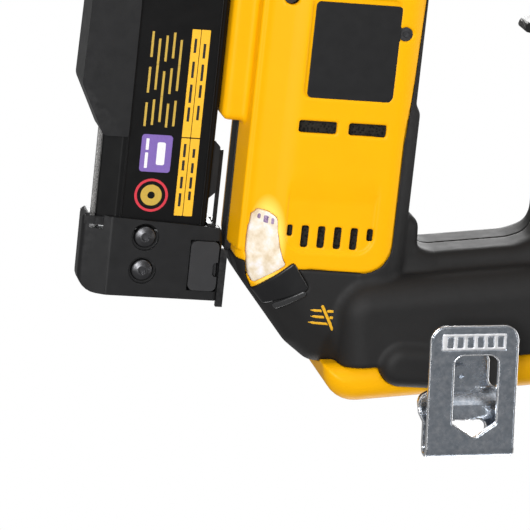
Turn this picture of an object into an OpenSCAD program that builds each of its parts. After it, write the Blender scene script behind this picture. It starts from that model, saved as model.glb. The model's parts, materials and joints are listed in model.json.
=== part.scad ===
// Cordless pin nailer with a D-handle, seen in its working posture.
// +Z points away from the workpiece, -X is the front, +X the rear, -Y the left side.
// The origin is the centre of the muzzle, where a pin leaves the no-mar tip.

/* [Housing] */
// Half width of the motor tunnel
tunnel_half_w = 30; // [28:1:32]
// Lowest face of the motor tunnel
tunnel_z0 = 77; // [76:0.5:78]
// Highest yellow face of the motor tunnel
tunnel_z1 = 148; // [147:0.5:149]
// Rear face of the yellow motor tunnel
tunnel_x1 = 157; // [156:0.5:158]
// Outer radius of the round head over the cylinder
head_r = 34; // [33:0.5:36]
// Top of the yellow head
head_z1 = 236; // [234:1:240]
// Wall thickness of the clamshell halves
wall = 2.6; // [2.2:0.1:3]
// Thickness of the rubber overmould
skin = 2.2; // [1.8:0.1:2.6]

/* [Handle and foot] */
// Underside of the handle
handle_z0 = 211; // [210:0.5:213]
// Top of the handle
handle_z1 = 246; // [244:1:248]
// Half width of the handle
handle_half_w = 17; // [16:0.5:19]
// Half width of the foot that carries the battery
foot_half_w = 38; // [36:0.5:39]
// Lean of the foot from the vertical
foot_lean = 8; // [7:0.5:9]
// Depth of the foot from front to rear
foot_depth = 37; // [36:0.5:38]
// Depth of the battery base behind the foot
base_depth = 16; // [15:0.5:17]

/* [Magazine] */
// Half width of the magazine body
mag_half_w = 8.5; // [8:0.25:9]
// Lower edge of the magazine
mag_z0 = 17; // [16:0.5:18]
// Upper edge of the magazine
mag_z1 = 65; // [64:0.5:66]
// Rear end of the magazine body
mag_x1 = 148.5; // [147:0.5:148.5]
// Front face of the end cap
cap_x0 = 144; // [143:0.5:145]
// Rear face of the end cap
cap_x1 = 178; // [176:0.5:179]

/* [Drive] */
// Bore radius of the pressure cylinder
bore_r = 21; // [20:0.5:22]
// Height of the motor and lifter axis
axis_z = 112; // [111:0.5:113]
// Sideways offset of the motor and lifter axis
axis_y = 6; // [6:0.5:6]
// Number of lifting pins on the lifter wheel
lift_pins = 12; // [12:1:12]
// Spacing of the teeth on the driver blade
rack_pitch = 6; // [6:0.5:6]
// Working stroke of the driver
stroke = 60; // [60:1:60]

/* [Belt hook] */
// Width of the hook's leaf
hook_w = 39; // [36:0.5:40]
// Thickness of the hook's sheet steel
hook_t = 2; // [1.6:0.1:2.4]

/* [Hidden] */
$fn = 48;
eps = 0.01;
far = 400;
lift_r = lift_pins * rack_pitch / (2 * PI);
rack_y = axis_y - lift_r;
wheel_x = -14;
nose_z0 = 6;
nose_half_w = 14.5;
nose_z1 = 62;
frame_z1 = 130;
piston_z0 = 197;
cyl_z1 = 214;
tower_x = 178.35;
tower_z = 140;
tower_u = foot_depth / 2;
tower_w0 = -18;
tower_w1 = 108;
base_w0 = -24.5;
base_w1 = 104;
strip_z1 = 150.5;
cap_half_w = mag_half_w + 2.5;
grip_x0 = 20;
hook_z0 = 157;
hook_y = -58;
boss_y = -42;
facet_angle = atan2(9, 16);

// ---- outline helpers -------------------------------------------------------------------

// Unit vector along v
function unit(v) = v / norm(v);

// Points that round the corner p between its neighbours a and b to radius r
function corner(p, a, b, r, n) =
    r <= 0.05 ? [p] :
    let (u = unit(a - p), v = unit(b - p), half = acos(u * v) / 2,
        c = p + unit(u + v) * r / sin(half),
        p0 = p + u * r / tan(half) - c, p1 = p + v * r / tan(half) - c,
        a0 = atan2(p0.y, p0.x), d = atan2(p1.y, p1.x) - a0,
        sweep = d > 180 ? d - 360 : d < -180 ? d + 360 : d)
    [for (i = [0:n]) c + r * [cos(a0 + sweep * i / n), sin(a0 + sweep * i / n)]];

// Outline from corners given as [x, y, radius], counterclockwise
function rounded(p, n = 6) =
    let (m = len(p))
    [for (i = [0:m - 1])
        let (a = p[(i + m - 1) % m], b = p[(i + 1) % m])
        each corner([p[i].x, p[i].y], [a.x, a.y], [b.x, b.y], p[i][2], n)];

// The same corners moved inwards by t
function inset(p, t) =
    let (m = len(p))
    [for (i = [0:m - 1])
        let (a = p[(i + m - 1) % m], b = p[(i + 1) % m],
            e = unit([p[i].x - a.x, p[i].y - a.y]), f = unit([b.x - p[i].x, b.y - p[i].y]),
            n1 = [-e.y, e.x], n2 = [-f.y, f.x], s = (n1 + n2) * t / (1 + n1 * n2),
            convex = e.x * f.y - e.y * f.x >= 0)
        [p[i].x + s.x, p[i].y + s.y, convex ? max(p[i][2] - t, 0) : p[i][2] + t]];

// Corners of a rectangle from lo to hi, all rounded to r
function box_pts(lo, hi, r = 0) = [[lo.x, lo.y, r], [hi.x, lo.y, r], [hi.x, hi.y, r], [lo.x, hi.y, r]];

// Prism of an (x, z) outline between two y values
module along_y(p, y0, y1) {
    translate([0, y1, 0]) rotate([90, 0, 0]) linear_extrude(y1 - y0) polygon(p);
}

// Prism of a (y, z) outline between two x values
module along_x(p, x0, x1) {
    translate([x0, 0, 0]) rotate([90, 0, 90]) linear_extrude(x1 - x0) polygon(p);
}

// Prism of an (x, y) outline between two z values
module along_z(p, z0, z1) {
    translate([0, 0, z0]) linear_extrude(z1 - z0) polygon(p);
}

// Box between two corners
module block(lo, hi) {
    translate(lo) cube(hi - lo);
}

// Cylinders along X or Y, from one end to the other
module rod_x(r, x0, x1, y, z) {
    translate([x0, y, z]) rotate([0, 90, 0]) cylinder(r = r, h = x1 - x0);
}
module rod_y(r, y0, y1, x, z) {
    translate([x, y1, z]) rotate([90, 0, 0]) cylinder(r = r, h = y1 - y0);
}
module rod_z(r, z0, z1, x, y) {
    translate([x, y, z0]) cylinder(r = r, h = z1 - z0);
}

// Keeps the half of its children on one side: -1 is left (-Y), 1 is right (+Y)
module half_space(side) {
    intersection() {
        children();
        block([-far, side < 0 ? -far : 0, -far], [far, side < 0 ? 0 : far, far]);
    }
}

// Both sides: the child and its mirror image across the parting plane
module both_sides() {
    children();
    mirror([0, 1, 0]) children();
}

// Local frame of the leaning foot: X across its depth, Z along its length
module in_foot() {
    translate([tower_x, 0, tower_z]) rotate([0, -foot_lean, 0]) children();
}

// ---- the volumes that the housing and the overmould share ------------------------------

function tunnel_section() = [
    [-21, tunnel_z0, 4], [21, tunnel_z0, 4], [tunnel_half_w, 93, 3], [tunnel_half_w, 142, 5],
    [25, tunnel_z1, 3], [-25, tunnel_z1, 3], [-tunnel_half_w, 142, 5], [-tunnel_half_w, 93, 3]];

// Motor tunnel, inset by t
module tunnel(t) {
    intersection() {
        along_x(rounded(inset(tunnel_section(), t)), 0, tunnel_x1 + 3);
        along_y(rounded(inset([[-10, tunnel_z0 - 5, 0], [tunnel_x1, tunnel_z0 - 5, 0],
            [tunnel_x1, tunnel_z1 + 1, 10], [-10, tunnel_z1 + 1, 0]], t)), -far, far);
    }
}

// Round head over the cylinder, inset by t
module head(t) {
    translate([0, 0, 70 + t]) cylinder(r1 = head_r - t - 6, r2 = head_r - t, h = 8);
    rod_z(head_r - t, 78 + t, head_z1 - t, 0, 0);
}

// Lug that carries the magazine, inset by t
module lug(t) {
    block([20, -14 + t, 66], [97 - t, 14 - t, tunnel_z0 + 4 - 2 * t]);
}

function cheek_outline() = [[145, 78, 0], [160, 78, 8], [173, 85.5, 20], [193, 103, 12],
    [200.5, 116, 10], [202, 146, 0], [145, 147, 0]];

// Rear cheek, from the tunnel to the battery base, inset by t
module cheek(t) {
    intersection() {
        along_y(rounded(inset(cheek_outline(), t)), -far, far);
        along_x(rounded(inset(tunnel_section(), t)), 140, 220);
    }
}

// Bulge of the foot above the cheek, inset by t
module tower(t) {
    in_foot() intersection() {
        along_z(rounded(inset(box_pts([-tower_u, -foot_half_w], [tower_u, foot_half_w], 11), t)),
            tower_w0 - 5, tower_w1 + 5);
        along_y(rounded(inset([[-tower_u, tower_w0, 13], [tower_u, tower_w0, 6],
            [tower_u, tower_w1, 12], [-tower_u, tower_w1, 4]], t)), -far, far);
    }
}

// Narrower pillar along the front of the foot, inset by t
module pillar(t) {
    in_foot() along_z(rounded(inset(box_pts([-tower_u - 6.7, -20.5], [0, 20.5], 7), t)), 6 + t, 92 - t);
}

// Yellow battery base behind the foot, inset by t
module base(t) {
    in_foot() intersection() {
        along_z(rounded(inset(box_pts([0, 2 - foot_half_w], [tower_u + base_depth, foot_half_w - 2], 10), t)),
            base_w0 - 5, base_w1 + 5);
        along_y(rounded(inset([[14.5, base_w0, 0], [tower_u + base_depth, base_w0, 13],
            [tower_u + base_depth, base_w1, 6], [14.5, base_w1, 0]], t)), -far, far);
    }
}

// Handle grip from the head to the foot, inset by t
module grip(t) {
    intersection() {
        along_x(rounded(inset(box_pts([-handle_half_w, handle_z0], [handle_half_w, handle_z1], 13), t)), grip_x0 + t, 190);
        along_y([[0, 180], [186, 180], [172, 260], [0, 260]], -far, far);
    }
    intersection() {
        along_x(rounded(inset(box_pts([-handle_half_w, 190], [handle_half_w, handle_z1], 6), t)), 120, 190);
        along_y(rounded([[138 + t, 214, 0], [158, 194, 0], [186, 194, 0], [178, 240, 0], [138 + t, 240, 0]]),
            -far, far);
    }
}

// Everything inside the clamshell
module inner_space() {
    tunnel(wall);
    head(wall);
    lug(wall);
    cheek(skin + wall);
    tower(skin + wall);
    pillar(skin + wall);
    grip(skin + wall);
}

// Channel in the battery base, open to the rear and to its upper end
module battery_channel() {
    in_foot() {
        block([tower_u + 3, -25, base_w0 + 20], [tower_u + base_depth - 5, 25, base_w1 + 20]);
        block([tower_u + 3, -19, base_w0 + 20], [tower_u + base_depth + 5, 19, base_w1 + 20]);
    }
}

// Intake windows and exhaust slots, cut through both walls of the tunnel
module vents() {
    for (x = [[92, 96.5, 112.5], [92, 118, 134]])
        along_y(rounded(box_pts([x[0], x[1]], [x[0] + 5, x[2]], 0.8)), -far, far);
    for (i = [0:5]) {
        edge = i == 0 || i == 5 ? 2.4 : 0;
        along_y(rounded(box_pts([138, 95.4 + 7.1 * i], [147.3 - edge, 98.7 + 7.1 * i], 1.2)), -far, far);
    }
}

// Seat of the work light on the lower facet of the tunnel, grown by g
module light_seat(g) {
    translate([0, -tunnel_half_w, 93]) rotate([facet_angle, 0, 0])
        block([129 - g, -eps - g, -16 - g], [157 + g, 4 + g, -1 + g]);
}

// Housing screws, all driven from the left: [x, z, y of the head's face, y of the boss's far end]
screw_places = [[52, 138, -29, 28.4], [40, 88, -24, 23.4], [29.5, 190, -14.5, 10.5],
    [100, 228, -15.2, 14.6], [88, 238, -12, 8], [176, 228, -36, 32], [150, 230, -15.2, 14.6]];

// Holes for the screws' heads and shanks, in the left half only
module screw_holes() {
    for (p = screw_places) {
        rod_y(3.1, -60, p[2] + 2.6, p.x, p.y);
        rod_y(1.45, -60, 2, p.x, p.y);
    }
}

// Holes across both halves: trigger pin, lock-off button and the belt hook's inserts
module cross_holes() {
    block([43.5, -6.6, 190], [66, 6.6, 222]);
    rod_y(1.55, -11.7, 11.7, 49, 215.5);
    rod_y(4.1, -40, 40, 74, 232);
    rod_y(3.55, -50, -26.9, 195.5, 175);
    rod_y(3.55, 26.9, 50, 195.5, 175);
}

// ---- housing and covers ----------------------------------------------------------------

module housing_half(side) {
    color("gold") half_space(side) difference() {
        union() {
            difference() {
                union() {
                    tunnel(0);
                    head(0);
                    lug(0);
                    cheek(skin);
                    tower(skin);
                    pillar(skin);
                    base(0);
                    grip(skin);
                }
                inner_space();
            }
            for (p = screw_places) rod_y(3.4, p[2] + 1, p[3], p.x, p.y);
        }
        battery_channel();
        vents();
        block([-14.5, -19.5, 60], [15.5, 23, 80]);
        rod_z(head_r - 6, head_z1 - 4, head_z1 + 1, 0, 0);
        both_sides() light_seat(0.1);
        both_sides() block([40, -31, 98], [82, -29, 136]);
        screw_holes();
        cross_holes();
        belly(0.05);
    }
}
module housing_left() {
    housing_half(-1);
}
module housing_right() {
    housing_half(1);
}

module overmould_half(side) {
    color([0.17, 0.17, 0.17]) half_space(side) difference() {
        union() {
            cheek(0);
            tower(0);
            pillar(0);
            grip(0);
            intersection() {
                along_x(rounded([[-26, 140, 0], [26, 140, 0], [26, 147, 0], [20, strip_z1, 4],
                    [-20, strip_z1, 4], [-26, 147, 0]]), 82, 150);
                block([82, -far, tunnel_z1], [150, far, far]);
            }
            along_y(rounded([[133, 147, 0], [163, 147, 0], [158, 163, 0], [138, 158, 5]]), -20, 20);
            both_sides() along_y(rounded(box_pts([186, 141], [204.5, 197], 9)), boss_y, -30);
        }
        tunnel(0);
        head(0);
        cheek(skin);
        tower(skin);
        pillar(skin);
        base(0);
        grip(skin);
        inner_space();
        screw_holes();
        cross_holes();
        belly(0.05);
    }
}
module overmould_left() {
    overmould_half(-1);
}
module overmould_right() {
    overmould_half(1);
}

// Strip under the tunnel, let into it by half its thickness, grown by g
module belly(g) {
    block([99 - g, -7 - g, tunnel_z0 - 2.7 - g], [156 + g, 7 + g, tunnel_z0 + 1.2 + g]);
}
module belly_strip() {
    color([0.22, 0.22, 0.23]) belly(0);
}

module name_pads() {
    color([0.12, 0.12, 0.12]) both_sides()
        along_y(rounded(box_pts([40.2, 98.2], [81.8, 135.8], 2)), -29.9, -29);
}

module head_cap() {
    color([0.15, 0.15, 0.15]) difference() {
        union() {
            rotate_extrude() polygon(rounded([[0, head_z1 + 0.1, 0], [head_r, head_z1 + 0.1, 0],
                [head_r, head_z1 + 8, 6], [0, head_z1 + 8, 0]]));
            rod_z(head_r - 6.2, head_z1 - 3, head_z1 + 0.2, 0, 0);
        }
        block([grip_x0 - 0.2, -handle_half_w - 0.2, head_z1 - 5], [60, handle_half_w + 0.2, head_z1 + 20]);
    }
}

// Domed or flat screw along Y with its head's face at y, a hexalobe-like socket and a shank
module side_screw(x, z, y, inward, length) {
    difference() {
        union() {
            rod_y(3, min(y, y + inward * 2.4), max(y, y + inward * 2.4), x, z);
            rod_y(1.4, min(y, y + inward * length), max(y, y + inward * length), x, z);
        }
        translate([x, y, z]) rotate([90, 0, 0]) cylinder(r = 1.5, h = 2.8, center = true, $fn = 6);
    }
}
module housing_screws() {
    color("dimgray") for (p = screw_places) side_screw(p.x, p.y, p[2], 1, 16 - abs(p[2]) / 4);
}

module work_lights() {
    color([0.95, 0.95, 0.9]) both_sides() light_seat(0);
}
module light_boards() {
    color("darkgreen") both_sides() translate([0, -tunnel_half_w, 93]) rotate([facet_angle, 0, 0])
        block([133, 4.4, -14], [153, 6, -3]);
}

// Hood over the rear end of the light, standing on the facet
module indicator_hoods() {
    color([0.12, 0.12, 0.12]) both_sides() difference() {
        intersection() {
            translate([0, -tunnel_half_w, 93]) rotate([facet_angle, 0, 0]) difference() {
                along_x(rounded([[-1.5, -17, 1], [0.2, -17, 0], [0.2, 1, 0], [-1.5, 1, 1]]), 158, 176);
                block([164, -3, -13], [167, 3, -1]);
            }
            along_y(rounded(inset(cheek_outline(), 1.5)), -far, far);
        }
        cheek(0);
    }
}
module indicator_windows() {
    color([0.4, 0.4, 0.42]) both_sides() difference() {
        translate([0, -tunnel_half_w, 93]) rotate([facet_angle, 0, 0])
            block([164.1, -1.2, -12.9], [166.9, 0.1, -1.1]);
        cheek(0);
    }
}

// ---- belt hook -------------------------------------------------------------------------

// Sheet steel: a screw plate, a step outwards, a bend at the rear and a wide leaf with a pointed slot
module belt_hook() {
    plate_y = boss_y - 0.05;
    step_x = 202;
    step_y = -48.5;
    step_run = 11;
    bend_x = 226;
    mid_y = (step_y + hook_y) / 2;
    bend_r = (step_y - hook_y) / 2;
    drop = plate_y - step_y;
    hook_z1 = hook_z0 + hook_w;
    mid_z = hook_z0 + hook_w / 2;

    // Face of the step at the share t of its run, moved outwards by d
    function step_at(t, d) =
        let (slope = -drop * PI / 2 / step_run * sin(180 * t))
        [step_x + step_run * t, plate_y - drop * (1 - cos(180 * t)) / 2] + d * unit([slope, -1]);

    strip = concat(
        [[171, hook_y]],
        [for (a = [-90:15:90]) [bend_x + bend_r * cos(a), mid_y + bend_r * sin(a)]],
        [for (t = [1:-0.125:0]) step_at(t, 0)],
        [[187, plate_y], [187, plate_y - hook_t]],
        [for (t = [0:0.125:1]) step_at(t, hook_t)],
        [for (a = [90:-15:-90]) [bend_x + (bend_r - hook_t) * cos(a), mid_y + (bend_r - hook_t) * sin(a)]],
        [[171, hook_y + hook_t]]);
    color([0.55, 0.57, 0.6]) difference() {
        intersection() {
            along_z(strip, hook_z0 - 5, hook_z1 + 5);
            union() {
                along_y(rounded([[170.9, hook_z0, 7], [240, hook_z0, 0], [240, hook_z1, 0],
                    [170.9, hook_z1, 7]]), hook_y - 1, mid_y);
                along_y(rounded([[186.9, mid_z - 10.5, 4], [201, mid_z - 10.5, 3], [206, hook_z0 - 2.4, 4],
                    [212, hook_z0 - 2.4, 3], [216, hook_z0, 3], [240, hook_z0, 0], [240, hook_z1, 0],
                    [216, hook_z1, 3], [212, hook_z1 + 2.4, 3], [206, hook_z1 + 2.4, 4],
                    [201, mid_z + 10.5, 3], [186.9, mid_z + 10.5, 4]]), mid_y, plate_y + 1);
            }
        }
        along_y(rounded([[184.5, mid_z - 8.2, 4], [214.5, mid_z - 8.2, 1.5], [221, mid_z + 1.5, 1.5],
            [214.5, mid_z + 10.8, 1.5], [184.5, mid_z + 10.8, 4]]), hook_y - 1, hook_y + hook_t + 1);
        along_y(rounded(box_pts([215.5, mid_z - 8], [224, mid_z + 8], 3)), step_y - hook_t - 1, step_y + 1);
        rod_y(2.6, plate_y - hook_t - 1, plate_y + 1, 195.5, 175);
    }
}
module hook_screw() {
    color("silver") difference() {
        union() {
            rod_y(4.5, boss_y - 0.1 - hook_t - 3, boss_y - 0.1 - hook_t, 195.5, 175);
            rod_y(1.95, boss_y - 0.1 - hook_t, -29, 195.5, 175);
        }
        translate([195.5, boss_y - 0.1 - hook_t - 3, 175]) rotate([90, 0, 0])
            cylinder(r = 1.6, h = 3.6, center = true, $fn = 6);
    }
}
// Brass inserts for the hook's screw, one on each side
module hook_inserts() {
    color("goldenrod") both_sides() difference() {
        union() {
            rod_y(3.5, boss_y + 0.1, -27, 195.5, 175);
            rod_y(3.3, -27.1, -26.95, 195.5, 175);
        }
        rod_y(2, boss_y - 1, -20, 195.5, 175);
    }
}

// ---- magazine --------------------------------------------------------------------------

function mag_section() = [
    [-mag_half_w + 4, mag_z0, 1], [mag_half_w - 4, mag_z0, 1], [mag_half_w, mag_z0 + 8, 2],
    [mag_half_w, mag_z1, 1.5], [-mag_half_w, mag_z1, 1.5], [-mag_half_w, mag_z0 + 8, 2]];

module magazine_body() {
    color([0.13, 0.13, 0.14]) {
        difference() {
            along_x(rounded(mag_section()), 16.3, mag_x1);
            along_x(rounded(inset(mag_section(), 1.5)), 16.2, mag_x1 + 1);
            block([10, -1.6, mag_z0 - 1], [far, 1.6, mag_z0 + 3]);
        }
        for (z = [mag_z0 + 10.1, 62]) both_sides()
            block([16.3, -mag_half_w - 0.4, z], [mag_x1, -mag_half_w + 0.2, z + 0.8]);
        block([24, -4, mag_z1 - 0.3], [94, 4, 68.9]);
    }
}
module pin_rail() {
    color("silver") difference() {
        block([16.4, -1.5, mag_z0 - 1.5], [mag_x1 - 1, 1.5, mag_z0 + 1.4]);
        block([16, -0.5, mag_z0], [mag_x1, 0.5, mag_z0 + 2]);
    }
}
module magazine_guard() {
    color([0.1, 0.1, 0.1]) difference() {
        along_y(rounded([[22, 6.5, 3], [86, 5, 6], [108, mag_z0 - 1, 3], [108, mag_z0 + 10, 1],
            [22, mag_z0 + 10, 1]]), -11, 11);
        along_x(rounded(inset(mag_section(), -0.05)), 0, 120);
        block([0, -1.7, mag_z0 - 2], [120, 1.7, mag_z0 + 4]);
    }
}
module latch_keeper() {
    color([0.1, 0.1, 0.1])
        along_y(rounded([[108, mag_z1 + 0.05, 0], [134, mag_z1 + 0.05, 0], [131, 68.1, 1.4], [111, 68.1, 1.4]]),
            -6, 6);
}

// Inner channel that holds the pins and pulls out to the rear
module magazine_slide() {
    color([0.35, 0.35, 0.36]) difference() {
        along_x(rounded(inset(mag_section(), 1.8)), 17, mag_x1 + 0.9);
        block([10, -0.5, mag_z0], [mag_x1 - 6, 0.5, mag_z0 + 40]);
        block([10, -3.6, 32], [mag_x1 - 6, 3.6, 50]);
        block([10, -2, mag_z0], [far, 2, mag_z0 + 3.2]);
    }
}

function cap_section() = [
    [-cap_half_w + 6, 11.5, 3], [cap_half_w - 6, 11.5, 3], [cap_half_w, 23.5, 3],
    [cap_half_w, 72.5, 2], [-cap_half_w, 72.5, 2], [-cap_half_w, 23.5, 3]];

module end_cap() {
    color([0.14, 0.14, 0.145]) difference() {
        union() {
            intersection() {
                along_x(rounded(cap_section()), cap_x0 - 2, cap_x1);
                along_y(rounded([[cap_x0 - 1, 11.5, 3], [cap_x1, 11.5, 8], [cap_x1, 72.5, 1],
                    [cap_x0 + 10, 72.5, 1], [cap_x0 + 1.6, 71, 1]]), -far, far);
            }
            along_y([[155, 72], [cap_x1 + 2.6, 72], [cap_x1 + 2.6, 75], [155, 75]], -cap_half_w, -cap_half_w + 2.4);
        }
        block([cap_x0 - 5, -mag_half_w - 0.8, mag_z0 - 2.5], [mag_x1 + 1, mag_half_w + 0.8, mag_z1 + 4]);
        for (x = [151.5, 166.2]) rod_y(6, -20, 1.8 - cap_half_w, x, 38.5);
        for (x = [151.5, 166.2]) rod_y(2.05, -20, 8, x, 38.5);
        block([151.4, -20, 58.5], [174, -1.7, 71.4]);
        block([150, -4.8, 68.2], [160, 1.2, 71.4]);
        block([cap_x0 - 5, -4.8, 68.2], [152, 3.2, 74]);
        rod_y(2.6, -2, 5, 166.5, 62);
    }
}
module end_cap_screws() {
    color([0.1, 0.1, 0.1]) for (x = [151.5, 166.2]) difference() {
        union() {
            translate([x, 1.8 - cap_half_w, 38.5]) rotate([90, 0, 0])
                rotate_extrude() polygon(rounded([[0, 0, 0], [5, 0, 0], [4.6, 1.6, 1.5], [2.2, 2.7, 1], [0, 2.7, 0]]));
            rod_y(2, 1.8 - cap_half_w, 6, x, 38.5);
        }
        translate([x, -cap_half_w - 1, 38.5]) rotate([90, 0, 0]) cylinder(r = 1.75, h = 3.6, center = true, $fn = 6);
    }
}

// Push button of the magazine latch, with a thumb notch in its upper edge
module magazine_latch() {
    color([0.2, 0.2, 0.21]) difference() {
        union() {
            along_y(rounded(box_pts([151.7, 58.8], [173.6, 71.1], 2.5)), -12, -4.9);
            rod_y(2.2, -5, 0.6, 166.5, 62);
        }
        along_y(rounded([[161, 69, 1.5], [167, 69, 1.5], [167.6, 73, 0], [160.4, 73, 0]]), -13, -8.5);
    }
}
module latch_arm() {
    color("silver") {
        along_y([[112.9, 68.5], [157, 68.5], [157, 70.2], [112.9, 70.2]], -3.2, -1.9);
        block([152.3, -4.88, 68.5], [157, -3.1, 70.2]);
    }
}
module pusher() {
    color("steelblue") difference() {
        block([18, -3.2, 33], [36, 3.2, 49]);
        rod_y(5.3, -4, 4, 28, 41);
    }
}
// Roll of the constant-force spring, carried in the pusher
module pusher_spring() {
    color("silver") difference() {
        rod_y(5.2, -2.5, 2.5, 28, 41);
        rod_y(3, -4, 4, 28, 41);
    }
}

// ---- nose ------------------------------------------------------------------------------

// Nose screws: [y, z]
nose_screw_places = [[-11.3, 24], [11.3, 24], [-11.3, 52], [11.3, 52]];

// Passage of the driver blade: a narrow tongue low down and the wider rack above
module blade_passage() {
    block([-0.65, -0.95, 0], [0.65, 0.95, 70]);
    block([-1.25, -10, 30], [1.25, 1.2, 70]);
}
module nose_body() {
    color([0.5, 0.5, 0.52]) difference() {
        union() {
            along_y(rounded([[0.1, nose_z0 + 5.9, 0], [8, nose_z0 + 5.9, 3], [16, 20, 3], [16, nose_z1, 0],
                [0.1, nose_z1, 0]]), -nose_half_w, nose_half_w);
            rod_z(2.4, nose_z0, nose_z0 + 6, 0, 0);
        }
        blade_passage();
        block([0, -0.5, mag_z0], [20, 0.5, mag_z0 + 39.5]);
        for (p = nose_screw_places) rod_x(1.3, -10, 12, p.x, p.y);
    }
}
module nose_plate() {
    color([0.62, 0.62, 0.64]) difference() {
        along_y(rounded([[-5, nose_z0 + 11, 2], [-2, nose_z0 + 6.05, 0], [0, nose_z0 + 6.05, 0],
            [0, nose_z1, 0], [-5, nose_z1, 0]]), -nose_half_w, nose_half_w);
        blade_passage();
        for (p = nose_screw_places) rod_x(1.6, -10, 12, p.x, p.y);
    }
}
module nose_screws() {
    color("dimgray") for (p = nose_screw_places) difference() {
        union() {
            rod_x(2.6, -7.2, -5, p.x, p.y);
            rod_x(1.2, -5.1, 11, p.x, p.y);
        }
        translate([-7.2, p.x, p.y]) rotate([0, 90, 0]) cylinder(r = 1.3, h = 2.6, center = true, $fn = 6);
    }
}

// Steel foot that the workpiece pushes up, with an arm to the depth wheel and a guide rod
module contact_trip() {
    color("silver") {
        difference() {
            block([-9.6, -4.2, 2], [4, 4.2, 3.4]);
            rod_z(2.8, 0, 10, 0, 0);
        }
        block([-9.6, -4.2, 2], [-8.2, 4.2, 31]);
        block([-17, -4.2, 30.9], [-8.2, 4.2, 33.7]);
        block([-9.6, 4.1, 26], [-8.2, 17, 31]);
        rod_z(1.5, 26, 80, -8.9, 16);
        rod_z(3, 36, 38, -8.9, 16);
    }
}
module no_mar_tip() {
    color([0.25, 0.25, 0.27]) difference() {
        along_z(rounded(box_pts([-10.2, -4.8], [4.6, 4.8], 2)), 0, 4.4);
        block([-9.65, -4.25, 1.95], [4.05, 4.25, 6]);
        rod_z(2.8, -1, 3, 0, 0);
    }
}
module trip_spring() {
    color("silver") difference() {
        rod_z(2.4, 38, nose_z1, -8.9, 16);
        rod_z(1.7, 37, nose_z1 + 1, -8.9, 16);
    }
}
module depth_stud() {
    color("silver") {
        rod_z(2.5, 41, nose_z1, wheel_x, 0);
        rod_z(4, 40, 41.9, wheel_x, 0);
    }
}
module depth_wheel() {
    color([0.15, 0.15, 0.15]) difference() {
        union() {
            rod_z(7.2, 42, 49, wheel_x, 0);
            for (a = [0:24:336])
                translate([wheel_x, 0, 42]) rotate(a) translate([7.2, 0, 0]) cylinder(r = 0.8, h = 7, $fn = 16);
        }
        rod_z(2.56, 38, 52, wheel_x, 0);
    }
}

// ---- drive -----------------------------------------------------------------------------

module drive_frame() {
    color([0.66, 0.67, 0.68]) difference() {
        union() {
            along_z(rounded(box_pts([-18, -19], [15.9, 22.5], 4)), nose_z1 + 0.05, 68);
            block([-14, -19, 62.05], [-9.4, 22.5, frame_z1]);
            block([9.4, -19, 62.05], [15, 22.5, frame_z1]);
            rod_z(26, 126.5, frame_z1, 0, 0);
        }
        block([-1.6, -10.5, 60], [1.6, 8.8, 140]);
        rod_x(6.02, -30, 30, axis_y, axis_z);
        rod_z(1.6, 60, 90, -8.9, 16);
        block([-9.4 + eps, -25, 68.02], [9.4 - eps, 30, 126.4]);
        block([-20, -13, 58], [-4.9, 13, 62.06]);
    }
}
module lifter_bearings() {
    color("silver") for (x = [-13.8, 9.6]) difference() {
        rod_x(6, x, x + 4, axis_y, axis_z);
        rod_x(3.05, x - 1, x + 5, axis_y, axis_z);
    }
}
module lifter_wheel() {
    color([0.45, 0.45, 0.47]) {
        for (x = [-3.4, 1.5]) rod_x(13.5, x, x + 1.9, axis_y, axis_z);
        rod_x(3, -14, 46, axis_y, axis_z);
        for (i = [0:lift_pins - 1]) {
            a = 360 * i / lift_pins;
            rod_x(1.3, -2, 2, axis_y - lift_r * cos(a), axis_z + lift_r * sin(a));
        }
    }
}
module driver_blade() {
    color([0.75, 0.75, 0.77]) {
        block([-0.45, -0.7, nose_z0 + stroke], [0.45, 0.7, 97]);
        block([-1, -9.6, 92], [1, 0.8, 96.9]);
        block([-1, -9.6, 92], [1, -7.1, piston_z0]);
        block([-1, -9.6, 187.5], [1, 8, piston_z0]);
        for (k = [-1:12]) {
            z = axis_z + rack_pitch * (k + 0.5);
            along_x([[-7.2, z - 1.3], [rack_y + 1, z - 0.7], [rack_y + 2.2, z], [rack_y + 1, z + 0.7],
                [-7.2, z + 1.3]], -1, 1);
        }
    }
}
module piston() {
    color([0.8, 0.8, 0.82]) rotate_extrude() polygon([[0, piston_z0], [bore_r - 0.3, piston_z0],
        [bore_r - 0.3, piston_z0 + 3.4], [bore_r - 3.2, piston_z0 + 3.4], [bore_r - 3.2, piston_z0 + 6.6],
        [bore_r - 0.3, piston_z0 + 6.6], [bore_r - 0.3, piston_z0 + 10], [0, piston_z0 + 10]]);
}
module piston_seal() {
    color([0.1, 0.1, 0.1]) rotate_extrude() translate([bore_r - 1.62, piston_z0 + 5]) circle(r = 1.5);
}
module bumper() {
    color("firebrick") difference() {
        rod_z(bore_r - 0.2, frame_z1 + 0.05, frame_z1 + 6.5, 0, 0);
        rod_z(13, 100, 150, 0, 0);
    }
}
module pressure_cylinder() {
    color("lightgray") difference() {
        rod_z(bore_r + 3, frame_z1 + 0.05, cyl_z1, 0, 0);
        rod_z(bore_r, 100, 240, 0, 0);
    }
}
module cylinder_cap() {
    color("darkgray") difference() {
        union() {
            rod_z(bore_r + 4.5, cyl_z1 + 0.05, cyl_z1 + 6, 0, 0);
            rod_z(bore_r - 0.1, cyl_z1 - 4, cyl_z1 + 1, 0, 0);
        }
        rod_z(3, 200, 240, 0, 0);
    }
}
module fill_valve() {
    color("goldenrod") {
        rod_z(2.95, cyl_z1 - 3, cyl_z1 + 6.1, 0, 0);
        rod_z(4.5, cyl_z1 + 6.1, cyl_z1 + 10, 0, 0);
    }
}

// ---- motor -----------------------------------------------------------------------------

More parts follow.
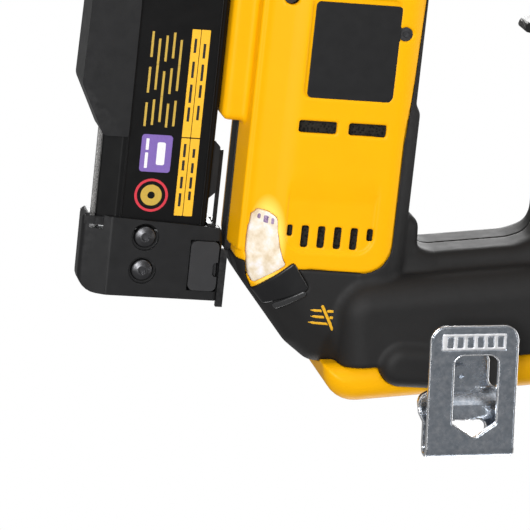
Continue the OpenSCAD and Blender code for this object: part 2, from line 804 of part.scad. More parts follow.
module motor_stator() {
    color([0.6, 0.35, 0.2]) difference() {
        rod_x(19.5, 101, 132, axis_y, axis_z);
        rod_x(11, 100, 133, axis_y, axis_z);
    }
}
module motor_rotor() {
    color([0.5, 0.5, 0.5]) {
        rod_x(10.5, 103, 130, axis_y, axis_z);
        rod_x(2.5, 84, 142, axis_y, axis_z);
    }
}
module cooling_fan() {
    color([0.1, 0.1, 0.1]) {
        difference() {
            rod_x(6, 90, 98, axis_y, axis_z);
            rod_x(2.5, 89, 99, axis_y, axis_z);
        }
        for (a = [0:40:320])
            translate([90, axis_y, axis_z]) rotate([a, 0, 0]) translate([0, -0.7, 5.5]) cube([7, 1.4, 11.5]);
    }
}
module motor_bearings() {
    color("silver") for (x = [84.5, 136.5]) difference() {
        rod_x(6.5, x, x + 4.5, axis_y, axis_z);
        rod_x(2.55, x - 1, x + 6, axis_y, axis_z);
    }
}
module gearbox() {
    color([0.3, 0.3, 0.32]) difference() {
        rod_x(17, 34, 84, axis_y, axis_z);
        rod_x(3.06, 30, 48, axis_y, axis_z);
        rod_x(2.6, 78, 90, axis_y, axis_z);
    }
}

// ---- trigger and electrics -------------------------------------------------------------

module trigger() {
    color([0.12, 0.12, 0.12]) difference() {
        along_y(rounded([[46, 219, 3], [44.6, 206, 3], [48, 196.5, 2], [51.5, 195.4, 1.5], [53, 203, 9],
            [63.5, 210.5, 1.5], [63.5, 218.5, 1.5]]), -6, 6);
        rod_y(1.56, -10, 10, 49, 215.5);
    }
}
module trigger_pin() {
    color("silver") rod_y(1.5, -11.5, 11.5, 49, 215.5);
}
module trigger_switch() {
    color([0.2, 0.2, 0.25]) {
        block([60, -5, 225], [68, 5, 237]);
        block([61.5, -1.5, 222.5], [64.5, 1.5, 225.1]);
    }
}
module lock_off_button() {
    color([0.12, 0.12, 0.12]) rod_y(4.03, -20, 17, 74, 232);
}
module control_board() {
    color("darkgreen") in_foot() block([-9, -24, 0], [7, 24, 58]);
}
module motor_leads() {
    color("crimson") for (y = [-6, -2.5, 2.5]) {
        rod_x(1, 132.2, 164, y, axis_z + 15);
        rod_z(1, axis_z + 15, 141, 164, y);
        translate([164, y, axis_z + 15]) sphere(r = 1);
    }
}
module battery_terminals() {
    color([0.12, 0.12, 0.12]) in_foot() block([tower_u + 3.05, -14, -2], [tower_u + 9, 14, 16]);
}
module terminal_blades() {
    color("goldenrod") in_foot() for (y = [-10.5, -3.5, 3.5, 10.5])
        block([tower_u + 4, y - 0.4, 16.02], [tower_u + 8, y + 0.4, 34]);
}

housing_left();
housing_right();
overmould_left();
overmould_right();
belly_strip();
name_pads();
head_cap();
housing_screws();
work_lights();
light_boards();
indicator_hoods();
indicator_windows();
belt_hook();
hook_screw();
hook_inserts();
magazine_body();
pin_rail();
magazine_guard();
latch_keeper();
magazine_slide();
end_cap();
end_cap_screws();
magazine_latch();
latch_arm();
pusher();
pusher_spring();
nose_body();
nose_plate();
nose_screws();
contact_trip();
no_mar_tip();
trip_spring();
depth_stud();
depth_wheel();
drive_frame();
lifter_bearings();
lifter_wheel();
driver_blade();
piston();
piston_seal();
bumper();
pressure_cylinder();
cylinder_cap();
fill_valve();
motor_stator();
motor_rotor();
cooling_fan();
motor_bearings();
gearbox();
trigger();
trigger_pin();
trigger_switch();
lock_off_button();
control_board();
motor_leads();
battery_terminals();
terminal_blades();
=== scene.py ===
"""Looks of the cordless pin nailer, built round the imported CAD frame. Lengths in the field code are
millimetres in the part's frame: +Z from the muzzle up, -X the front, -Y the left side."""

import json
import math

import bmesh
import bpy
import numpy as np
import openvdb
from mathutils import Matrix, Vector


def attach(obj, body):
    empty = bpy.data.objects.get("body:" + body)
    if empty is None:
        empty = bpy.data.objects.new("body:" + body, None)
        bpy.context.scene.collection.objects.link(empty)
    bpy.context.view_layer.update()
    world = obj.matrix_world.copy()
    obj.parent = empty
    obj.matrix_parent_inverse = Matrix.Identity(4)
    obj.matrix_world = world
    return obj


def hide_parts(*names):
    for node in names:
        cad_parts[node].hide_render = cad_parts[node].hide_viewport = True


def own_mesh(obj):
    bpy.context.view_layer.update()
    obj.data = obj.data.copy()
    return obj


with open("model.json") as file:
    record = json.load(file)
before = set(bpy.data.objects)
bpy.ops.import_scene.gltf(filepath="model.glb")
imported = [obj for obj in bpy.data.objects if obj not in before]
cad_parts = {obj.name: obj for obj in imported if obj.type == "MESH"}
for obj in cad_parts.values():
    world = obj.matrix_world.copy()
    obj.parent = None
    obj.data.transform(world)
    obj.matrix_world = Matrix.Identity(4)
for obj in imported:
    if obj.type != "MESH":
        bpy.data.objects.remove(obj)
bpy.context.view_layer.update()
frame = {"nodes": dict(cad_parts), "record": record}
MM = 0.001

# ---- materials ------------------------------------------------------------------------------------


class Shader:
    """A node material round one Principled shader, with short calls for its nodes."""

    def __init__(self, name, colour, rough, metallic=0.0, specular=0.5):
        self.mat = bpy.data.materials.new(name)
        self.mat.use_nodes = True
        self.tree = self.mat.node_tree
        self.bsdf = self.tree.nodes["Principled BSDF"]
        self.bsdf.inputs["Base Color"].default_value = (*colour, 1)
        self.bsdf.inputs["Roughness"].default_value = rough
        self.bsdf.inputs["Metallic"].default_value = metallic
        self.bsdf.inputs["Specular IOR Level"].default_value = specular
        self.mat.diffuse_color = (*colour, 1)
        self.bump_out = None

    def node(self, kind, **values):
        n = self.tree.nodes.new(kind)
        for key, value in values.items():
            setattr(n, key, value)
        return n

    def link(self, a, b):
        self.tree.links.new(a, b)

    def place(self, scale=(1, 1, 1)):
        coord = self.node("ShaderNodeTexCoord")
        mapping = self.node("ShaderNodeMapping")
        mapping.inputs["Scale"].default_value = scale
        self.link(coord.outputs["Object"], mapping.inputs["Vector"])
        return mapping.outputs["Vector"]

    def noise(self, size_mm, detail=3.0, stretch=(1, 1, 1), rough=0.55):
        n = self.node("ShaderNodeTexNoise")
        n.inputs["Scale"].default_value = 1 / (size_mm * MM)
        n.inputs["Detail"].default_value = detail
        n.inputs["Roughness"].default_value = rough
        self.link(self.place(stretch), n.inputs["Vector"])
        return n.outputs["Fac"]

    def cells(self, size_mm, feature="F1"):
        n = self.node("ShaderNodeTexVoronoi", feature=feature)
        n.inputs["Scale"].default_value = 1 / (size_mm * MM)
        self.link(self.place(), n.inputs["Vector"])
        return n.outputs["Distance"]

    def ramp(self, value, stops):
        n = self.node("ShaderNodeValToRGB")
        while len(n.color_ramp.elements) < len(stops):
            n.color_ramp.elements.new(0.5)
        for e, (at, colour) in zip(n.color_ramp.elements, stops):
            e.position = at
            e.color = (*colour, 1) if hasattr(colour, "__len__") else (colour, colour, colour, 1)
        self.link(value, n.inputs["Fac"])
        return n.outputs["Color"]

    def maths(self, operation, a, b):
        n = self.node("ShaderNodeMath", operation=operation)
        for socket, value in zip(n.inputs, (a, b)):
            if isinstance(value, (int, float)):
                socket.default_value = value
            else:
                self.link(value, socket)
        return n.outputs["Value"]

    def blend(self, amount, a, b):
        n = self.node("ShaderNodeMix", data_type="RGBA")
        self.link(amount, n.inputs["Factor"])
        for socket, value in ((n.inputs["A"], a), (n.inputs["B"], b)):
            if hasattr(value, "is_linked"):
                self.link(value, socket)
            else:
                socket.default_value = (*value, 1)
        return n.outputs["Result"]

    def edges(self, low=0.56, high=0.70):
        """1 on convex edges, broken up by noise."""
        geometry = self.node("ShaderNodeNewGeometry")
        sharp = self.ramp(geometry.outputs["Pointiness"], [(low, 0.0), (high, 1.0)])
        broken = self.ramp(self.noise(2.5, 4), [(0.42, 0.0), (0.62, 1.0)])
        return self.maths("MULTIPLY", sharp, broken)

    def bump(self, height, distance_mm, strength=1.0):
        n = self.node("ShaderNodeBump")
        n.inputs["Strength"].default_value = strength
        n.inputs["Distance"].default_value = distance_mm * MM
        self.link(height, n.inputs["Height"])
        if self.bump_out is not None:
            self.link(self.bump_out, n.inputs["Normal"])
        self.bump_out = n.outputs["Normal"]
        self.link(self.bump_out, self.bsdf.inputs["Normal"])

    def tint(self, value):
        self.link(value, self.bsdf.inputs["Base Color"])

    def gloss(self, value):
        self.link(value, self.bsdf.inputs["Roughness"])


def scaled(colour, factor):
    return tuple(min(1.0, c * factor) for c in colour)


def moulded(name, colour, rough, grain_mm, grain_depth, worn, specular=0.5, mottle=0.06):
    """Moulded plastic or rubber: fine grain, faint flow mottling and paler edges."""
    s = Shader(name, colour, rough, specular=specular)
    flow = s.noise(14.0, 3)
    body = s.ramp(flow, [(0.3, scaled(colour, 1 - mottle)), (0.7, scaled(colour, 1 + mottle))])
    s.tint(s.blend(s.edges(), body, worn))
    s.gloss(s.ramp(s.noise(5.0, 4), [(0.3, rough - 0.03), (0.7, rough + 0.04)]))
    s.bump(s.noise(grain_mm, 2), grain_depth)
    return s


def metal(name, colour, rough, grain=(1, 1, 1), grain_mm=0.5, depth=0.006, spread=0.08, mottle=0.08):
    """Bare or plated metal with brushed or cast grain and small roughness changes."""
    s = Shader(name, colour, rough, metallic=1.0)
    s.tint(s.ramp(s.noise(4.0, 5), [(0.3, scaled(colour, 1 - mottle)), (0.7, scaled(colour, 1 + mottle))]))
    s.gloss(s.ramp(s.noise(grain_mm * 3, 4, grain), [(0.3, rough - spread), (0.7, rough + spread)]))
    s.bump(s.noise(grain_mm, 3, grain), depth)
    return s


def printed(name, colour, rough=0.45):
    """Ink on a label: a fine dotted tone and small roughness changes."""
    s = Shader(name, colour, rough)
    s.tint(s.ramp(s.noise(0.6, 2), [(0.3, scaled(colour, 0.93)), (0.7, scaled(colour, 1.05))]))
    s.gloss(s.ramp(s.noise(3.0, 3), [(0.3, rough - 0.05), (0.7, rough + 0.08)]))
    s.bump(s.noise(0.8, 2), 0.004)
    return s


YELLOW = (0.90, 0.43, 0.0005)
# Centre and size of the painted light on the housing round each light lens
LENS_AT = Vector((147.0, -26.0, 88.0)) * MM
PAINTED_GLOW_SIZE = Vector((22.0, 8.0, 9.8)) * MM


def housing_yellow():
    """Yellow plastic with painted light round each light lens: a paler, emissive glow in an ellipsoid,
    mirrored across Y.
    """
    s = moulded("yellow_plastic", YELLOW, 0.44, 0.35, 0.012, (1.0, 0.58, 0.03), specular=0.14, mottle=0.02)
    glow_at = s.node("ShaderNodeTexCoord")
    fold = s.node("ShaderNodeVectorMath", operation="ABSOLUTE")
    s.link(glow_at.outputs["Object"], fold.inputs[0])
    move = s.node("ShaderNodeVectorMath", operation="SUBTRACT")
    s.link(fold.outputs["Vector"], move.inputs[0])
    move.inputs[1].default_value = (LENS_AT.x, -LENS_AT.y, LENS_AT.z)
    shrink = s.node("ShaderNodeVectorMath", operation="DIVIDE")
    s.link(move.outputs["Vector"], shrink.inputs[0])
    shrink.inputs[1].default_value = PAINTED_GLOW_SIZE
    far = s.node("ShaderNodeVectorMath", operation="LENGTH")
    s.link(shrink.outputs["Vector"], far.inputs[0])
    # Painted light: inside the ellipsoid the yellow turns paler and emits, standing in for the lens's light
    # falling on the housing
    painted_glow = s.ramp(far.outputs["Value"], [(0.55, 1.0), (1.0, 0.0)])
    plain = s.bsdf.inputs["Base Color"].links[0].from_socket
    s.tint(s.blend(painted_glow, plain, (1.0, 0.72, 0.16)))
    s.bsdf.inputs["Emission Color"].default_value = (1.0, 0.62, 0.10, 1)
    s.link(s.maths("MULTIPLY", painted_glow, 0.34), s.bsdf.inputs["Emission Strength"])
    return s


def rubber():
    s = moulded("black_rubber", (0.0100, 0.0096, 0.0097), 0.66, 0.55, 0.035, (0.022, 0.021, 0.021),
                specular=0.34, mottle=0.10)
    s.bump(s.cells(0.9), 0.02, 0.5)
    return s


def zinc():
    """Bright zinc plate: blue-grey cloudy mottling over the steel."""
    base = (0.50, 0.52, 0.56)
    s = Shader("zinc_steel", base, 0.32, metallic=1.0)
    cloud = s.noise(2.6, 6, rough=0.7)
    s.tint(s.ramp(cloud, [(0.32, (0.36, 0.41, 0.47)), (0.50, (0.47, 0.51, 0.57)),
                          (0.70, (0.62, 0.65, 0.70))]))
    s.gloss(s.ramp(s.noise(3.0, 4), [(0.30, 0.20), (0.70, 0.30)]))
    s.bump(s.noise(3.0, 3), 0.012)
    return s


def lens_material():
    s = Shader("lens", (0.80, 0.76, 0.76), 0.30)
    spots = s.ramp(s.noise(5.0, 4), [(0.32, (0.66, 0.53, 0.36)), (0.50, (0.80, 0.70, 0.56)),
                                     (0.68, (0.86, 0.83, 0.84))])
    s.tint(spots)
    s.link(spots, s.bsdf.inputs["Emission Color"])
    s.bsdf.inputs["Emission Strength"].default_value = 0.06
    s.bump(s.cells(1.1), 0.08, 0.6)
    return s


def lens_mark():
    s = Shader("lens_mark", (0.22, 0.13, 0.26), 0.35)
    s.tint(s.ramp(s.noise(1.2, 4), [(0.35, (0.10, 0.05, 0.14)), (0.65, (0.42, 0.30, 0.46))]))
    s.bump(s.noise(0.8, 3), 0.02)
    return s


def screen_material():
    s = Shader("screen", (0.010, 0.010, 0.010), 0.7, specular=0.2)
    s.tint(s.ramp(s.cells(1.2), [(0.25, (0.002, 0.002, 0.002)), (0.5, (0.022, 0.020, 0.016))]))
    s.bump(s.cells(1.2), 0.2)
    return s


def board_material():
    s = Shader("board", (0.01, 0.12, 0.05), 0.4)
    s.tint(s.ramp(s.cells(1.5), [(0.2, (0.01, 0.10, 0.04)), (0.5, (0.02, 0.20, 0.08))]))
    s.bump(s.noise(0.8, 3), 0.02)
    return s


MATERIALS = {
    "yellow_plastic": housing_yellow(),
    "black_rubber": rubber(),
    "black_plastic": moulded("black_plastic", (0.0070, 0.0070, 0.0077), 0.40, 0.35, 0.010,
                             (0.020, 0.020, 0.021), specular=0.42, mottle=0.03),
    "dark_grey_plastic": moulded("dark_grey_plastic", (0.026, 0.026, 0.028), 0.42, 0.4, 0.014,
                                 (0.06, 0.06, 0.062)),
    "grey_plastic": moulded("grey_plastic", (0.11, 0.11, 0.115), 0.45, 0.4, 0.014, (0.2, 0.2, 0.2)),
    "lens": lens_material(),
    "lens_mark": lens_mark(),
    "smoked_window": moulded("smoked_window", (0.030, 0.030, 0.031), 0.26, 0.8, 0.004, (0.04, 0.04, 0.04)),
    "zinc_steel": zinc(),
    "steel": metal("steel", (0.62, 0.61, 0.60), 0.28, grain=(1, 1, 6)),
    "dark_steel": metal("dark_steel", (0.10, 0.10, 0.105), 0.38),
    "black_aluminium": moulded("black_aluminium", (0.0032, 0.0032, 0.0034), 0.38, 0.3, 0.006,
                               (0.010, 0.010, 0.010), specular=0.20, mottle=0.02),
    # Painted highlight: a bright zinc for the belt hook's edges
    "painted_highlight_zinc": metal("painted_highlight_zinc", (0.86, 0.87, 0.89), 0.24, grain_mm=0.8, depth=0.004,
                         spread=0.04, mottle=0.04),
    "zinc_etched": metal("zinc_etched", (0.93, 0.93, 0.95), 0.52, grain_mm=0.6, depth=0.006, mottle=0.04),
    # Painted highlight: a pale grey for bevelled edges, standing in for the light they catch
    "painted_highlight_edge": moulded("painted_highlight_edge", (0.055, 0.055, 0.058), 0.30, 0.35, 0.006,
                          (0.09, 0.09, 0.09), mottle=0.04),
    "black_steel": metal("black_steel", (0.035, 0.035, 0.037), 0.42, mottle=0.04),
    "nose_steel": metal("nose_steel", (0.20, 0.20, 0.205), 0.42, grain_mm=0.8, depth=0.010, mottle=0.04),
    "aluminium": metal("aluminium", (0.66, 0.67, 0.68), 0.40, grain_mm=0.8, depth=0.02),
    "brass": metal("brass", (0.76, 0.53, 0.22), 0.30),
    "board": board_material(),
    "screen": screen_material(),
    "copper": metal("copper", (0.80, 0.42, 0.26), 0.32, grain=(1, 6, 1)),
    "red_rubber": moulded("red_rubber", (0.32, 0.02, 0.02), 0.55, 0.5, 0.01, (0.4, 0.06, 0.05)),
    "lead_jacket": moulded("lead_jacket", (0.25, 0.02, 0.02), 0.45, 0.6, 0.008, (0.3, 0.05, 0.05)),
    "print_yellow": printed("print_yellow", (0.92, 0.50, 0.02)),
    "print_purple": printed("print_purple", (0.20, 0.12, 0.42)),
    "print_red": printed("print_red", (0.62, 0.03, 0.05)),
    "print_white": printed("print_white", (0.85, 0.83, 0.86)),
    "print_black": printed("print_black", (0.008, 0.008, 0.008)),
    "print_gold": printed("print_gold", (0.55, 0.36, 0.05)),
    "icon_yellow": printed("icon_yellow", (0.80, 0.42, 0.01)),
}


def give(obj, material):
    obj.data.materials.clear()
    obj.data.materials.append(MATERIALS[material].mat)


# ---- solids from distance fields ------------------------------------------------------------------


def both(a, b, r=0.0):
    """Intersection, with the edge between a and b rounded to r."""
    if r == 0:
        return np.maximum(a, b)
    return np.minimum(np.maximum(a, b), -r) + np.hypot(np.maximum(a + r, 0), np.maximum(b + r, 0))


def either(a, b, r=0.0):
    """Union, with a fillet of r."""
    return -both(-a, -b, r)


def rounded(corners, n=7):
    """Outline points from (x, z, radius) corners."""
    out = []
    m = len(corners)
    for i, (x, z, r) in enumerate(corners):
        p = np.array((x, z), float)
        a = np.array(corners[i - 1][:2], float) - p
        b = np.array(corners[(i + 1) % m][:2], float) - p
        a, b = a / np.linalg.norm(a), b / np.linalg.norm(b)
        half = math.acos(np.clip(a @ b, -1, 1)) / 2
        if r <= 0.05 or half > 1.56:
            out.append((x, z))
            continue
        c = p + (a + b) / np.linalg.norm(a + b) * r / math.sin(half)
        v0, v1 = p + a * r / math.tan(half) - c, p + b * r / math.tan(half) - c
        a0 = math.atan2(v0[1], v0[0])
        turn = (math.atan2(v1[1], v1[0]) - a0 + math.pi) % (2 * math.pi) - math.pi
        for k in range(n + 1):
            t = a0 + turn * k / n
            out.append((c[0] + r * math.cos(t), c[1] + r * math.sin(t)))
    return out


def outline(corners, u, v):
    """Distance to a closed outline in the (u, v) plane, negative inside."""
    points = rounded(corners)
    shape = np.broadcast(u, v).shape
    near = np.full(shape, 1e9, np.float32)
    inside = np.zeros(shape, bool)
    for (ax, az), (bx, bz) in zip(points, points[1:] + points[:1]):
        ex, ez = bx - ax, bz - az
        length = ex * ex + ez * ez
        if length < 1e-12:
            continue
        t = np.clip(((u - ax) * ex + (v - az) * ez) / length, 0, 1)
        near = np.minimum(near, (u - ax - ex * t) ** 2 + (v - az - ez * t) ** 2)
        if az != bz:
            inside ^= ((az <= v) != (bz <= v)) & (u < ax + (v - az) / (bz - az) * ex)
    near = np.sqrt(near).astype(np.float32)
    return np.where(inside, -near, near)


def rect(x, z, r=0):
    """Corners of an upright rectangle for an outline."""
    return [(x[0], z[0], r), (x[1], z[0], r), (x[1], z[1], r), (x[0], z[1], r)]


class Grid:
    """Sample points of one half: a is the distance from the parting plane, x and z as in the part."""

    def __init__(self, low, high, step):
        self.low, self.step = np.array(low, float), step
        axes = [np.arange(lo, hi + step, step, dtype=np.float32) for lo, hi in zip(low, high)]
        self.x = axes[0][:, None, None]
        self.a = axes[1][None, :, None]
        self.z = axes[2][None, None, :]
        lean, at_x, at_z = math.radians(8), 178.35, 140.0
        self.u = (self.x - at_x) * math.cos(lean) + (self.z - at_z) * math.sin(lean)
        self.w = -(self.x - at_x) * math.sin(lean) + (self.z - at_z) * math.cos(lean)
        self.shape = tuple(len(a) for a in axes)


def mesh_object(name, points, faces, material, body="tool", smooth=True):
    """A mesh piece from points in millimetres, wound outwards."""
    mesh = bpy.data.meshes.new(name)
    points = np.asarray(points, np.float64) * MM
    faces = np.asarray(faces, np.int32)
    k = faces.shape[1]
    p = points[faces[:, 0]]
    volume = sum(np.einsum("ij,ij->", p, np.cross(points[faces[:, i]], points[faces[:, i + 1]]))
                 for i in range(1, k - 1))
    if volume < 0:
        faces = faces[:, ::-1].copy()
    mesh.vertices.add(len(points))
    mesh.vertices.foreach_set("co", points.astype(np.float32).ravel())
    mesh.loops.add(faces.size)
    mesh.loops.foreach_set("vertex_index", faces.ravel())
    mesh.polygons.add(len(faces))
    mesh.polygons.foreach_set("loop_start", np.arange(0, faces.size, k, dtype=np.int32))
    mesh.polygons.foreach_set("use_smooth", np.full(len(faces), smooth))
    mesh.update(calc_edges=True)
    mesh.validate()
    obj = bpy.data.objects.new(name, mesh)
    bpy.context.scene.collection.objects.link(obj)
    obj.data.materials.append(MATERIALS[material].mat)
    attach(obj, body)
    return obj


def solid(name, grid, field, side, material):
    """The surface of a field, on the left (-1) or right (1) side."""
    band = 3 * grid.step
    volume = openvdb.FloatGrid(band)
    full = np.broadcast_to(field, grid.shape)
    volume.copyFromArray(np.ascontiguousarray(np.clip(full, -band, band), dtype=np.float32))
    points, quads = volume.convertToQuads()
    points = points * grid.step + grid.low
    points[:, 1] *= side
    return mesh_object(name, points, quads, material, "tool")


SIDES = ((-1, "left"), (1, "right"))
TUNNEL_HALF = 30
HEAD_R = 34
TOP_Z = 247.8
HOOK_THICK = 2

# Outlines seen from the side, as (x, z, corner radius).
# The tunnel and the rear cheek; the facet follows it round the corner
PROFILE = [(-90, 77, 0), (157, 77, 8), (166, 80.5, 16), (192.5, 102.5, 16), (200.6, 113.5, 10),
           (201.5, 146, 0), (206, 300, 0), (-90, 300, 0)]
# Where the side of the tunnel is yellow, and the pieces let into it
PANEL = [(-90, 40, 0), (156.4, 40, 0), (156.4, 80.9, 1), (163.6, 82.2, 2), (170.0, 85.7, 1.5),
         (157.6, 100.6, 3), (157.0, 108, 0), (157.4, 142.8, 13), (100, 142.8, 10),
         (78, 144.6, 10), (30, 146.5, 0), (-90, 146.5, 0)]
LENS = [(132.6, 83.4, 2), (135.4, 81.2, 2), (145.5, 80.3, 6), (152.2, 80.6, 6), (158.5, 81.6, 4),
        (162.4, 82.6, 2), (165.7, 84.9, 1), (155.6, 97.1, 1), (152.9, 95.4, 3), (147.6, 93.6, 6),
        (141.0, 92.2, 6), (135.4, 91.6, 3), (133.2, 87.8, 4)]
LENS_MARKS = [[(134.3, 83.6, 0.5), (136.6, 83.2, 0.5), (137.0, 84.6, 0.5), (134.7, 85.0, 0.5)],
              [(134.7, 86.0, 0.4), (138.0, 85.8, 0.4), (138.3, 87.9, 0.4), (135.0, 88.1, 0.4)],
              [(135.2, 89.0, 0.4), (138.2, 88.9, 0.4), (138.4, 90.2, 0.4), (135.8, 90.4, 0.4)]]
HOOD = [(168.6, 84.4, 0.8), (174.9, 90.2, 1.0), (165.6, 108.6, 2.0), (153.8, 100.3, 1.2)]
WINDOW = [(174.0, 93.4, 1.2), (176.4, 95.2, 1.2), (168.0, 107.6, 1.3), (165.9, 106.2, 1.2)]
STRIP = [(84, 130, 0), (84, 150.6, 5), (160, 150.6, 0), (160, 130, 0)]
BUMP = [(130.5, 140, 0), (130.5, 149.5, 3), (136.5, 156.5, 6), (147, 157.2, 3), (152.5, 166, 3),
        (170, 168, 0), (170, 140, 0)]
RECESS = [(112, 95.2, 4), (149.0, 95.2, 8), (149.0, 134.0, 8), (112, 134.0, 4)]
SLOTS = [(137.9, 147.5 - (4.6 if i in (0, 5) else 0), 95.4 + 7.15 * i + (0.9 if i == 0 else 0),
          98.5 + 7.15 * i - (0.9 if i == 5 else 0)) for i in range(6)]
INTAKES = [(91.9, 97.2, 96.3, 112.7), (91.9, 97.2, 118.0, 134.2)]
SCREENS = (("intake_low", (90.5, 98.6), (95.2, 114.0)),
           ("intake_high", (90.5, 98.6), (116.6, 135.4)),
           ("exhaust", (136.4, 148.6), (94.0, 136.2)))
PAD = [(38, 96.6, 3), (81.7, 96.6, 3), (81.7, 134.8, 3), (38, 134.8, 3)]
# Housing screws as (x, z, y of the head's face)
SCREWS = [(52, 138, 29), (40, 88, 24), (29.5, 190, 14.5), (100, 228, 15.2), (88, 238, 12),
          (176, 228, 36), (150, 230, 15.2)]


def shoulder(g):
    """The slanted plane along the tunnel's top edge."""
    return ((g.a - TUNNEL_HALF) * 6 + (g.z - 142) * 5) / 7.81


def tunnel(g):
    """Motor tunnel and rear cheek, with the slanted facet along their lower and rear edge."""
    profile = outline(PROFILE, g.x, g.z)
    facet = ((g.a - TUNNEL_HALF) * 16 - (-profile - 16) * 9) / 18.36
    f = both(g.a - TUNNEL_HALF, facet, 2.2)
    f = both(f, profile, 5)
    f = both(f, shoulder(g), 3)
    f = both(f, g.z - 148, 3)
    f = np.maximum(f, -g.x)
    keel = outline([(-5, 74.9, 0), (6.6, 74.9, 0.6), (21.4, 77.2, 0), (21.4, 82, 0), (-5, 82, 0)], g.a, g.z)
    return np.minimum(f, np.maximum(keel + 0 * g.x, np.abs(g.x - 90) - 62))


def head(g):
    return both(both(np.hypot(g.x, g.a) - HEAD_R, 71 - g.z, 5), g.z - 236, 1.0)


def tower(g):
    face = outline([(-18.5, -18, 15), (40, -18, 0), (40, 108, 0), (-18.5, 108, 5)], g.u, g.w)
    return both(both(both(face, g.a - 38, 12), g.u - 18.5, 2), g.z - 247.4, 3)


def base(g):
    face = outline([(17, -24.5, 0), (34.5, -24.5, 14), (34.5, 104, 6), (17, 104, 0)], g.u, g.w)
    return both(face, g.a - 36, 8)


def pillar(g):
    face = outline([(-25.2, 4, 3), (-10, 4, 0), (-10, 107, 0), (-25.2, 107, 4)], g.u, g.w)
    return both(face, g.a - 20.5, 7)


def grip(g):
    section = both(both(g.a - 17, g.z - 246, 12), 211 - g.z, 12)
    reach = outline([(0, 180, 0), (186, 180, 0), (172, 262, 0), (0, 262, 0)], g.x, g.z)
    long = both(section, both(20 - g.x, reach))
    web = outline([(134, 216, 0), (156, 196, 10), (180, 190, 0), (178, 240, 0), (134, 240, 0)], g.x, g.z)
    return either(long, both(web, g.a - 17, 6), 5)


def lug(g):
    return both(outline([(20, 66, 2), (97.6, 66, 3), (97.6, 84, 0), (20, 84, 0)], g.x, g.z), g.a - 14, 3)


def boss(g):
    line = np.hypot(g.x - 195.25, g.z - np.clip(g.z, 151, 187)) - 9.6
    return both(line, g.a - 42, 6)


def strip(g):
    return both(both(outline(STRIP, g.x, g.z), shoulder(g), 3), g.a - 29.5, 1)


def bump(g):
    return both(outline(BUMP, g.x, g.z), g.a - 21, 7)


def body_parts(g):
    """Yellow body, its black neighbours and the yellow battery base, as uncut solids."""
    yellow = either(either(tunnel(g), head(g), 6), lug(g), 2)
    black = either(tower(g), tunnel(g), 3)
    black = either(either(black, pillar(g), 3), bump(g), 3)
    black = either(black, strip(g), 2)
    black = either(black, grip(g), 6)
    black = either(black, boss(g), 2)
    return yellow, black, base(g)


def panel_mask(g):
    """Negative where the skin is yellow."""
    low = outline(PANEL, g.x, g.z) + 0 * g.a
    return either(low, np.maximum(np.hypot(g.x, g.a) - (HEAD_R + 0.6), 140 - g.z))


def box_field(g, x, a, z, r=0.0):
    plane = both(np.maximum(x[0] - g.x, g.x - x[1]), np.maximum(z[0] - g.z, g.z - z[1]), r)
    return np.maximum(plane, np.maximum(a[0] - g.a, g.a - a[1]))


def rod_field(g, r, x, z, a0):
    """A rod along Y, from a0 outwards."""
    return np.maximum(np.hypot(g.x - x, g.z - z) - r, a0 - g.a)


def cut(field, tool, r=0.0):
    return both(field, -tool, r)


